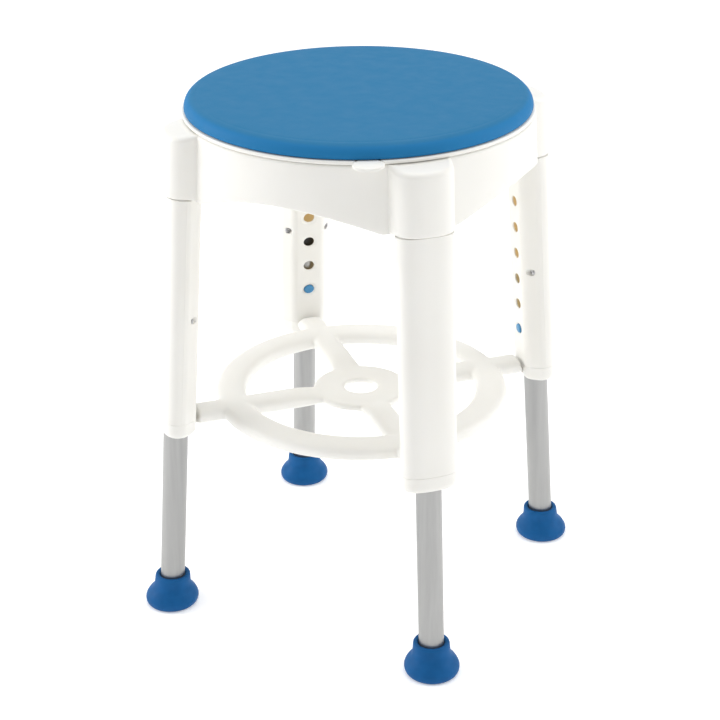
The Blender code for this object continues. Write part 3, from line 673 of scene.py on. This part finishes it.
outer_half = half_shell("sleeve_outer_half", back_outline, SEAM_GROOVE)
inner_half = half_shell("sleeve_inner_half", face_outline, -SEAM_GROOVE)
for i in range(6):
    cut(inner_half, oval_tool((
        (-FACE_X - 0.0006, HOLE_HALF_W + 0.0046, HOLE_HALF_H + 0.0046),
        (-FACE_X + 0.0001, HOLE_HALF_W + 0.0030, HOLE_HALF_H + 0.0030),
        (-FACE_X + 0.0005, HOLE_HALF_W + 0.0008, HOLE_HALF_H + 0.0008),
        (-FACE_X + 0.0007, HOLE_HALF_W + 0.0001, HOLE_HALF_H + 0.0001),
        (-FACE_X + HOLE_LIP, HOLE_HALF_W, HOLE_HALF_H),
        (-FACE_X + HOLE_LIP + 0.0001, HOLE_HALF_W + HOLE_RELIEF, HOLE_HALF_H + HOLE_RELIEF),
        (-0.0070, HOLE_HALF_W + HOLE_RELIEF, HOLE_HALF_H + HOLE_RELIEF),
    ), HOLE_FIRST + HOLE_PITCH * i))
for end in (-1, 1):
    for half in (inner_half, outer_half):
        tool = oval_tool((
            (-0.020, SCREW_SINK, SCREW_SINK), (-SCREW_SEAT, SCREW_SINK, SCREW_SINK),
            (-SCREW_SEAT, SCREW_CLEAR, SCREW_CLEAR), (SCREW_SEAT, SCREW_CLEAR, SCREW_CLEAR),
        ), SCREW_AT, 28)
        tool.data.transform(Matrix.Translation((0, end * SCREW_OUT, 0)))
        cut(half, tool)
for half in (inner_half, outer_half):
    clean_skin(half, 32)
    flatten_faces(half)

# The bore and the hole reliefs are painted tan as shade in there; the white plastic itself has no such
# colour.
painted_bore_shade, tree, shader = new_material("painted_shade_and_glow_bore", (0.50, 0.36, 0.15), 0.7)
tint(tree, shader, grain(tree, 60.0), (0.47, 0.36, 0.18), (0.55, 0.43, 0.23))
# Painted shade and glow: the tan colour paints the shade inside the bore, and the emission paints a glow
# for the daylight that comes through the thin wall.
shader.inputs["Emission Color"].default_value = (0.50, 0.38, 0.19, 1.0)
shader.inputs["Emission Strength"].default_value = 0.55
# Faces in the bore and behind the hole lips take the painted shade and glow.
for half in (outer_half, inner_half):
    half.data.materials.append(white)
    half.data.materials.append(painted_bore_shade)
    for face in half.data.polygons:
        in_bore = math.hypot(face.center.x, face.center.y) < BORE + 0.0002 and abs(face.normal.z) < 0.5
        in_relief = -FACE_X + HOLE_LIP + 0.00005 < face.center.x < -0.0075 and abs(face.center.y) < 0.0086
        if in_bore or in_relief and SHELL_LOW + 0.01 < face.center.z < HIGH_Z - 0.01:
            face.material_index = 1


def on_every_leg(piece, suffix, body_suffix, cad_suffixes, frame_of=leg_frame):
    """Copies a finished piece to the four legs, each copy with its own mesh, and drops the first one."""
    for leg, degrees in LEGS:
        copy = bpy.data.objects.new(leg + "_" + suffix, piece.data.copy())
        bpy.context.scene.collection.objects.link(copy)
        copy.data.name = copy.name
        copy.data.transform(frame_of(degrees))
        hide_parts(*[leg + "_" + cad for cad in cad_suffixes])
        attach(copy, "frame" if body_suffix == "frame" else leg + "_" + body_suffix)
    bpy.data.objects.remove(piece, do_unlink=True)


on_every_leg(outer_half, "sleeve_back", "frame", ["sleeve_outer_shell"])
on_every_leg(inner_half, "sleeve_front", "frame", ["sleeve_inner_shell"])

# End collars ---------------------------------------------------------------------
# A short moulded collar closes the lower end of each sleeve. It guides the tube, and a
# pocket in its inner face takes the tongue of a footrest arm.

COLLAR_TOP = 0.2062
TONGUE_Z = 0.1994


def block_tool(place, length, width, height):
    """A plain block centred on a place."""
    put_down()
    bpy.ops.mesh.primitive_cube_add(size=1.0)
    piece = bpy.context.object
    piece.data.transform(place @ Matrix.Diagonal((length, width, height, 1.0)))
    return piece


collar_rings = []
for z, inset in (
    (LOW_Z, 0.0032), (LOW_Z + 0.0002, 0.0025), (LOW_Z + 0.0006, 0.0019), (LOW_Z + 0.0013, 0.00125),
    (LOW_Z + 0.0024, 0.00065), (LOW_Z + 0.0039, 0.00022), (LOW_Z + 0.0060, 0.0),
    (COLLAR_TOP - 0.0001, 0.0), (COLLAR_TOP, 0.0002),
):
    collar_rings.append(at_height(whole_outline(z, -inset), z))
collar = skin_rings("collar", collar_rings)
clean_skin(collar, 32)
cut(collar, lathe("bore_tool", [
    (0.0, LOW_Z - 0.002), (BORE + 0.0012, LOW_Z - 0.002), (BORE + 0.0004, LOW_Z + 0.0008),
    (BORE, LOW_Z + 0.0016), (BORE, COLLAR_TOP + 0.002), (0.0, COLLAR_TOP + 0.002),
], 64))
cut(collar, block_tool(Matrix.Translation((-0.0184, 0, TONGUE_Z)), 0.0100, 0.0134, 0.0058))
clean_skin(collar, 32)
flatten_faces(collar)
collar.data.materials.append(white)
on_every_leg(collar, "lower_collar", "frame", ["end_collar"])

# Sleeve screws -------------------------------------------------------------------
# Small zinc-plated pan-head screws with a cross recess, sunk in the sleeve's slanted
# sides.

screw = lathe("screw", [
    (0.0, -0.0060), (0.0016, -0.0060), (0.0016, 0.0071), (0.0029, 0.0071), (0.0029, 0.0079),
    (0.0027, 0.0085), (0.0021, 0.0090), (0.0012, 0.0093), (0.0, 0.0094),
], 32)
for quarter in (0.0, math.pi / 2):
    turned = Matrix.Rotation(quarter + 0.5, 4, "Z") @ Matrix.Translation((0, 0, 0.0095))
    cut(screw, block_tool(turned, 0.0033, 0.0008, 0.0026))
clean_skin(screw, 40)
plated, tree, shader = new_material("zinc_plate", (0.50, 0.50, 0.51), 0.32, 1.0)
tint(tree, shader, grain(tree, 300.0), (0.42, 0.42, 0.43), (0.56, 0.56, 0.57))
vary_roughness(tree, shader, grain(tree, 500.0), 0.26, 0.42)
screw.data.materials.append(plated)
for end, letter in ((-1, "a"), (1, "b")):
    spare = screw.copy()
    spare.data = screw.data.copy()
    bpy.context.scene.collection.objects.link(spare)
    spare.data.transform(
        Matrix.Translation((0, end * SCREW_OUT, SCREW_AT)) @ Matrix.Rotation(-math.pi / 2, 4, "Y")
    )
    on_every_leg(spare, "sleeve_screw_" + letter, "frame", ["screw_" + letter])
bpy.data.objects.remove(screw, do_unlink=True)

# Extension tubes -----------------------------------------------------------------
# A drawn aluminium tube slides in each sleeve, with a satin finish that runs along it
# and one oval hole for its button.

TUBE = 0.0119
TUBE_WALL = 0.0012
TUBE_LOW, TUBE_TOP = 0.0112, 0.2915
tube_levels = [TUBE_LOW + (TUBE_TOP - TUBE_LOW) * i / 6 for i in range(7)]
tube_profile = [(TUBE - TUBE_WALL, TUBE_LOW), (TUBE - 0.0003, TUBE_LOW), (TUBE, TUBE_LOW + 0.0003)]
tube_profile += [(TUBE, z) for z in tube_levels[1:-1]]
tube_profile += [(TUBE, TUBE_TOP - 0.0003), (TUBE - 0.0003, TUBE_TOP), (TUBE - TUBE_WALL, TUBE_TOP)]
tube = lathe("tube", tube_profile, 96, ring=True)
cut(tube, oval_tool(((-0.020, HOLE_HALF_W, HOLE_HALF_H), (-0.004, HOLE_HALF_W, HOLE_HALF_H)), HOLE_FIRST))
clean_skin(tube)
satin, tree, shader = new_material("satin_aluminium", (0.38, 0.38, 0.375), 0.36, 0.92)
tint(tree, shader, grain(tree, 240.0, 4.0, (1.0, 1.0, 0.02)), (0.365, 0.365, 0.360), (0.395, 0.395, 0.390))
vary_roughness(tree, shader, grain(tree, 420.0, 3.0, (1.0, 1.0, 0.03)), 0.34, 0.42)
emboss(tree, shader, grain(tree, 900.0, 3.0, (1.0, 1.0, 0.015)), 0.00002, 0.15)
tube.data.materials.append(satin)
on_every_leg(tube, "sliding_tube", "leg", ["extension_tube"])

# Push-buttons --------------------------------------------------------------------
# A blue oval button stands in the lowest hole. A bent leaf spring in the tube pushes it
# out, and pressing it in frees the leg.

BUTTON_W, BUTTON_H = 0.0053, 0.0046
BUTTON_TIP, BUTTON_SIDE, BUTTON_BACK, BUTTON_FLANGE = 0.0177, 0.0165, 0.0064, 0.0062
stations = [
    (-BUTTON_BACK, BUTTON_FLANGE, BUTTON_FLANGE), (-BUTTON_BACK - 0.0010, BUTTON_FLANGE, BUTTON_FLANGE),
    (-BUTTON_BACK - 0.0010, BUTTON_W, BUTTON_H), (-0.0110, BUTTON_W, BUTTON_H),
    (-BUTTON_SIDE, BUTTON_W, BUTTON_H),
]
for i in range(1, 9):
    t = math.pi / 2 * i / 9
    shrink = 0.0030 * (1.0 - math.cos(t))
    reach = BUTTON_SIDE + (BUTTON_TIP - BUTTON_SIDE) * math.sin(t)
    stations.append((-reach, BUTTON_W - shrink, BUTTON_H - shrink))
stations.append((-BUTTON_TIP, 0.0009, 0.0006))
button = oval_tool(stations, HOLE_FIRST, 48)
clean_skin(button, 40)
gloss_blue, tree, shader = new_material("blue_button_plastic", (0.05, 0.24, 0.46), 0.30)
tint(tree, shader, grain(tree, 120.0), (0.045, 0.225, 0.44), (0.058, 0.26, 0.49))
vary_roughness(tree, shader, grain(tree, 400.0), 0.26, 0.36)
button.data.materials.append(gloss_blue)
on_every_leg(button, "height_button", "button", ["push_button"])

# Rubber feet ---------------------------------------------------------------------
# A blue bell-shaped rubber foot is pushed on each tube: a straight socket with a rounded
# lip, a waist that flares out, and a rim that curls under to the floor.

FOOT_BORE = 0.01225
FOOT_SOCKET = 0.0092
FOOT_SHAPE = (
    (0.0225, 0.0000), (0.0238, 0.0004), (0.0250, 0.0016), (0.0258, 0.0034), (0.0262, 0.0056),
    (0.0261, 0.0074), (0.0256, 0.0092), (0.0246, 0.0112), (0.0232, 0.0134), (0.0216, 0.0152),
    (0.0200, 0.0170), (0.0188, 0.0190), (0.0180, 0.0214), (0.0177, 0.0242), (0.0175, 0.0270),
    (0.0173, 0.0293), (0.0170, 0.0304), (0.0164, 0.0312), (0.0155, 0.0315), (0.0140, 0.0315),
    (0.0133, 0.0311), (0.0126, 0.0303), (FOOT_BORE, 0.0290), (FOOT_BORE, FOOT_SOCKET),
)


def foot_ring(radius, z, steps=96):
    """A level ring of the foot, centred on the leaning tube."""
    return [
        Vector((radius * math.cos(t) - LEG_SLOPE * z, radius * math.sin(t), z))
        for t in (2 * math.pi * i / steps for i in range(steps))
    ]


foot_rings = [foot_ring(0.0150, 0.0014), foot_ring(0.0156, 0.0009), foot_ring(0.0158, 0.0)]
foot_rings += [foot_ring(radius, z) for radius, z in FOOT_SHAPE]
foot = skin_rings("foot", foot_rings)
clean_skin(foot, 40)
rubber, tree, shader = new_material("blue_rubber", (0.009, 0.088, 0.258), 0.60)
shader.inputs["Specular IOR Level"].default_value = 0.12
tint(tree, shader, grain(tree, 90.0), (0.0055, 0.088, 0.258), (0.0075, 0.100, 0.290))
vary_roughness(tree, shader, grain(tree, 160.0), 0.46, 0.60)
emboss(tree, shader, grain(tree, 1100.0, 3.0), 0.00008, 0.5)
foot.data.materials.append(rubber)


def foot_place(degrees):
    angle = math.radians(degrees)
    foot_at = Vector((LEG_FOOT_AT * math.cos(angle), LEG_FOOT_AT * math.sin(angle), 0.0))
    return Matrix.Translation(foot_at) @ Matrix.Rotation(angle, 4, "Z")


on_every_leg(foot, "bell_foot", "leg", ["rubber_foot"], foot_place)

# Footrest ------------------------------------------------------------------------
# One white moulding: a ring of flattened section, a pierced hub, and four arms across the
# ring whose ends plug into the collars. The arms run into ring and hub with soft fillets.

RING, RING_HALF_W, RING_HALF_H, RING_Z = 0.1286, 0.0152, 0.0079, 0.2031
RING_POWER = 2.8
ARM_HALF_W, ARM_HALF_H, ARM_END = 0.0135, 0.0076, 0.1672
HUB_R, HUB_HOLE, HUB_TOP_Z, HUB_LOW_Z = 0.0468, 0.0157, 0.2060, 0.1992
MOULD_GRID = 0.00125


def flat_oval(wide, high, steps=40):
    """Offsets round a flattened oval section, wide across and high upwards."""
    points = []
    for i in range(steps):
        c, s = math.cos(2 * math.pi * i / steps), math.sin(2 * math.pi * i / steps)
        across = wide * math.copysign(abs(c) ** (2.0 / RING_POWER), c)
        points.append((across, high * math.copysign(abs(s) ** (2.0 / RING_POWER), s)))
    return points


def oval_ring(center, along, wide, high):
    across = Vector((-along.y, along.x, 0.0))
    return [center + across * x + Vector((0.0, 0.0, z)) for x, z in flat_oval(wide, high)]


ring_profile = [(RING + x, RING_Z + z) for x, z in flat_oval(RING_HALF_W, RING_HALF_H)]
footrest = lathe("footrest_moulding", ring_profile, 192, ring=True)
hub_disc = lathe("hub_disc", [
    (0.0, HUB_LOW_Z), (HUB_R - 0.0026, HUB_LOW_Z),
    (HUB_R - 0.0008, HUB_LOW_Z + 0.0010), (HUB_R, HUB_LOW_Z + 0.0028),
    (HUB_R, HUB_TOP_Z - 0.0024), (HUB_R - 0.0008, HUB_TOP_Z - 0.0008),
    (HUB_R - 0.0024, HUB_TOP_Z), (0.0, HUB_TOP_Z),
], 96)
arms = []
for leg, degrees in LEGS:
    angle = math.radians(degrees)
    out = Vector((math.cos(angle), math.sin(angle), 0.0))
    arm_rings = []
    for r, half_w, half_h in (
        (0.030, ARM_HALF_W + 0.0040, 0.0032), (0.040, ARM_HALF_W + 0.0022, 0.0036),
        (0.047, ARM_HALF_W + 0.0012, 0.0048), (0.054, ARM_HALF_W + 0.0005, 0.0062),
        (0.062, ARM_HALF_W, 0.0072), (0.072, ARM_HALF_W, ARM_HALF_H), (ARM_END, ARM_HALF_W, ARM_HALF_H),
    ):
        middle = RING_Z - 0.0006 * smooth_step(0.072 - r, 0.0, 0.030)
        arm_rings.append(oval_ring(out * r + Vector((0, 0, middle)), out, half_w, half_h))
    arm_rings[-1] = [point - out * (LEG_SLOPE * (point.z - RING_Z)) for point in arm_rings[-1]]
    arm = skin_rings("arm_tool", arm_rings)
    clean_skin(arm)
    arms.append(arm)
    tongue_at = leg_frame(degrees) @ Matrix.Translation((-0.0192, 0, TONGUE_Z))
    arms.append(block_tool(tongue_at, 0.0110, 0.0120, 0.0044))
for part in [hub_disc, *arms]:
    cut(footrest, part, "UNION")
cut(footrest, lathe("hub_bore_tool", [
    (0.0, HUB_LOW_Z - 0.010), (HUB_HOLE + 0.0030, HUB_LOW_Z - 0.010),
    (HUB_HOLE + 0.0030, HUB_LOW_Z - 0.0001), (HUB_HOLE + 0.0006, HUB_LOW_Z + 0.0024),
    (HUB_HOLE, HUB_TOP_Z - 0.0012), (HUB_HOLE + 0.0010, HUB_TOP_Z + 0.0004),
    (HUB_HOLE + 0.0010, HUB_TOP_Z + 0.010), (0.0, HUB_TOP_Z + 0.010),
], 96))
apply_modifier(footrest, "REMESH", mode="VOXEL", voxel_size=MOULD_GRID, adaptivity=0.0)
apply_modifier(footrest, "SMOOTH", factor=0.5, iterations=9)
clean_skin(footrest, 60)
footrest.data.materials.append(white)
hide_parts("footrest_ring")
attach(footrest, "frame")

# Hidden hardware -----------------------------------------------------------------
# The pivot bolt with its washer and lock nut, the glide ring, the tube plugs, the leaf
# springs and the foot washers keep their solids and take their own finishes.

nylon, tree, shader = new_material("black_nylon", (0.012, 0.012, 0.012), 0.45)
tint(tree, shader, grain(tree, 200.0), (0.009, 0.009, 0.009), (0.018, 0.018, 0.018))
acetal, tree, shader = new_material("natural_acetal", (0.78, 0.77, 0.74), 0.35)
tint(tree, shader, grain(tree, 40.0), (0.76, 0.75, 0.71), (0.80, 0.79, 0.76))


def give_finish(node, mat):
    """Puts a material on every slot of a solid that is kept as it is."""
    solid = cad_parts[node]
    if not solid.material_slots:
        solid.data.materials.append(mat)
    for holder in solid.material_slots:
        holder.material = mat


give_finish("glide_ring", acetal)
for node in ("pivot_bolt", "pivot_washer", "pivot_lock_nut"):
    give_finish(node, plated)
for leg, _ in LEGS:
    give_finish(leg + "_tube_plug", nylon)
    give_finish(leg + "_button_spring", plated)
    give_finish(leg + "_foot_washer", plated)

# Camera, light and floor ---------------------------------------------------------
# The camera stands in front and a little to the right, above seat height. Soft boxes in
# a white room give even light with a brighter left side, on a plain white floor.

AZIMUTH, ELEVATION, ROLL = 26.281749, 24.527026, -0.46662
CAMERA_AWAY, AIM_Z = 1.8045341, 0.2555928
FOCAL_LENGTH, SHIFT_X, SHIFT_Y = 92.246, -0.000646, -0.028710
FRONT_WALL = (0.40, -0.84, 0.36)
a, e, r = math.radians(AZIMUTH), math.radians(ELEVATION), math.radians(ROLL)
back = Vector((math.sin(a) * math.cos(e), -math.cos(a) * math.cos(e), math.sin(e)))
right = Vector((math.cos(a), math.sin(a), 0.0))
up = back.cross(right)
side = right * math.cos(r) + up * math.sin(r)
over = up * math.cos(r) - right * math.sin(r)
camera = bpy.data.objects.new("camera", bpy.data.cameras.new("camera"))
bpy.context.scene.collection.objects.link(camera)
turn = Matrix(((side.x, over.x, back.x), (side.y, over.y, back.y), (side.z, over.z, back.z))).to_4x4()
turn.translation = Vector((0.0, 0.0, AIM_Z)) + back * CAMERA_AWAY
camera.matrix_world = turn
camera.data.sensor_width = 36.0
camera.data.lens = FOCAL_LENGTH
camera.data.shift_x = SHIFT_X
camera.data.shift_y = SHIFT_Y
bpy.context.scene.camera = camera

world = bpy.data.worlds.new("studio")
bpy.context.scene.world = world
world.use_nodes = True
studio = world.node_tree
sky = studio.nodes["Background"]
heading = studio.nodes.new("ShaderNodeTexCoord")
toward = studio.nodes.new("ShaderNodeVectorMath")
toward.operation = "DOT_PRODUCT"
toward.inputs[1].default_value = FRONT_WALL
shade = studio.nodes.new("ShaderNodeValToRGB")
shade.color_ramp.elements[0].position = 0.30
shade.color_ramp.elements[0].color = (0.84, 0.84, 0.84, 1.0)
shade.color_ramp.elements[1].position = 0.95
shade.color_ramp.elements[1].color = (0.55, 0.55, 0.55, 1.0)
studio.links.new(heading.outputs["Generated"], toward.inputs[0])
studio.links.new(toward.outputs["Value"], shade.inputs["Fac"])
backdrop = studio.nodes.new("ShaderNodeBackground")
seen = studio.nodes.new("ShaderNodeLightPath")
blend = studio.nodes.new("ShaderNodeMixShader")
studio.links.new(shade.outputs["Color"], sky.inputs["Color"])
studio.links.new(seen.outputs["Is Camera Ray"], blend.inputs["Fac"])
studio.links.new(sky.outputs["Background"], blend.inputs[1])
studio.links.new(backdrop.outputs["Background"], blend.inputs[2])
studio.links.new(blend.outputs["Shader"], studio.nodes["World Output"].inputs["Surface"])
backdrop.inputs["Color"].default_value = (1.0, 1.0, 1.0, 1.0)


def soft_box(name, place, size, power):
    lamp = bpy.data.lights.new(name, "AREA")
    lamp.shape = "DISK"
    lamp.size = size
    lamp.energy = power
    holder = bpy.data.objects.new(name, lamp)
    bpy.context.scene.collection.objects.link(holder)
    holder.location = place
    holder.rotation_euler = (Vector((0.0, 0.0, 0.25)) - Vector(place)).to_track_quat("-Z", "Y").to_euler()


soft_box("left_light", (-2.0, -0.6, 1.0), 1.4, 22.0)
soft_box("right_light", (1.7, 0.9, 1.0), 1.4, 12.5)
soft_box("top_light", (0.0, 0.3, 2.6), 1.8, 17.0)

put_down()
bpy.ops.mesh.primitive_plane_add(size=12.0, location=(0, 0, -0.0002))
floor = bpy.context.object
floor.name = "studio_floor"
paper, tree, shader = new_material("white_paper", (0.95, 0.95, 0.95), 0.9)
tint(tree, shader, grain(tree, 2.0), (0.945, 0.945, 0.945), (0.955, 0.955, 0.955))
shader.inputs["Emission Color"].default_value = (1.0, 1.0, 1.0, 1.0)
shader.inputs["Emission Strength"].default_value = 0.25
floor.data.materials.append(paper)
bpy.context.scene.view_settings.view_transform = "Standard"
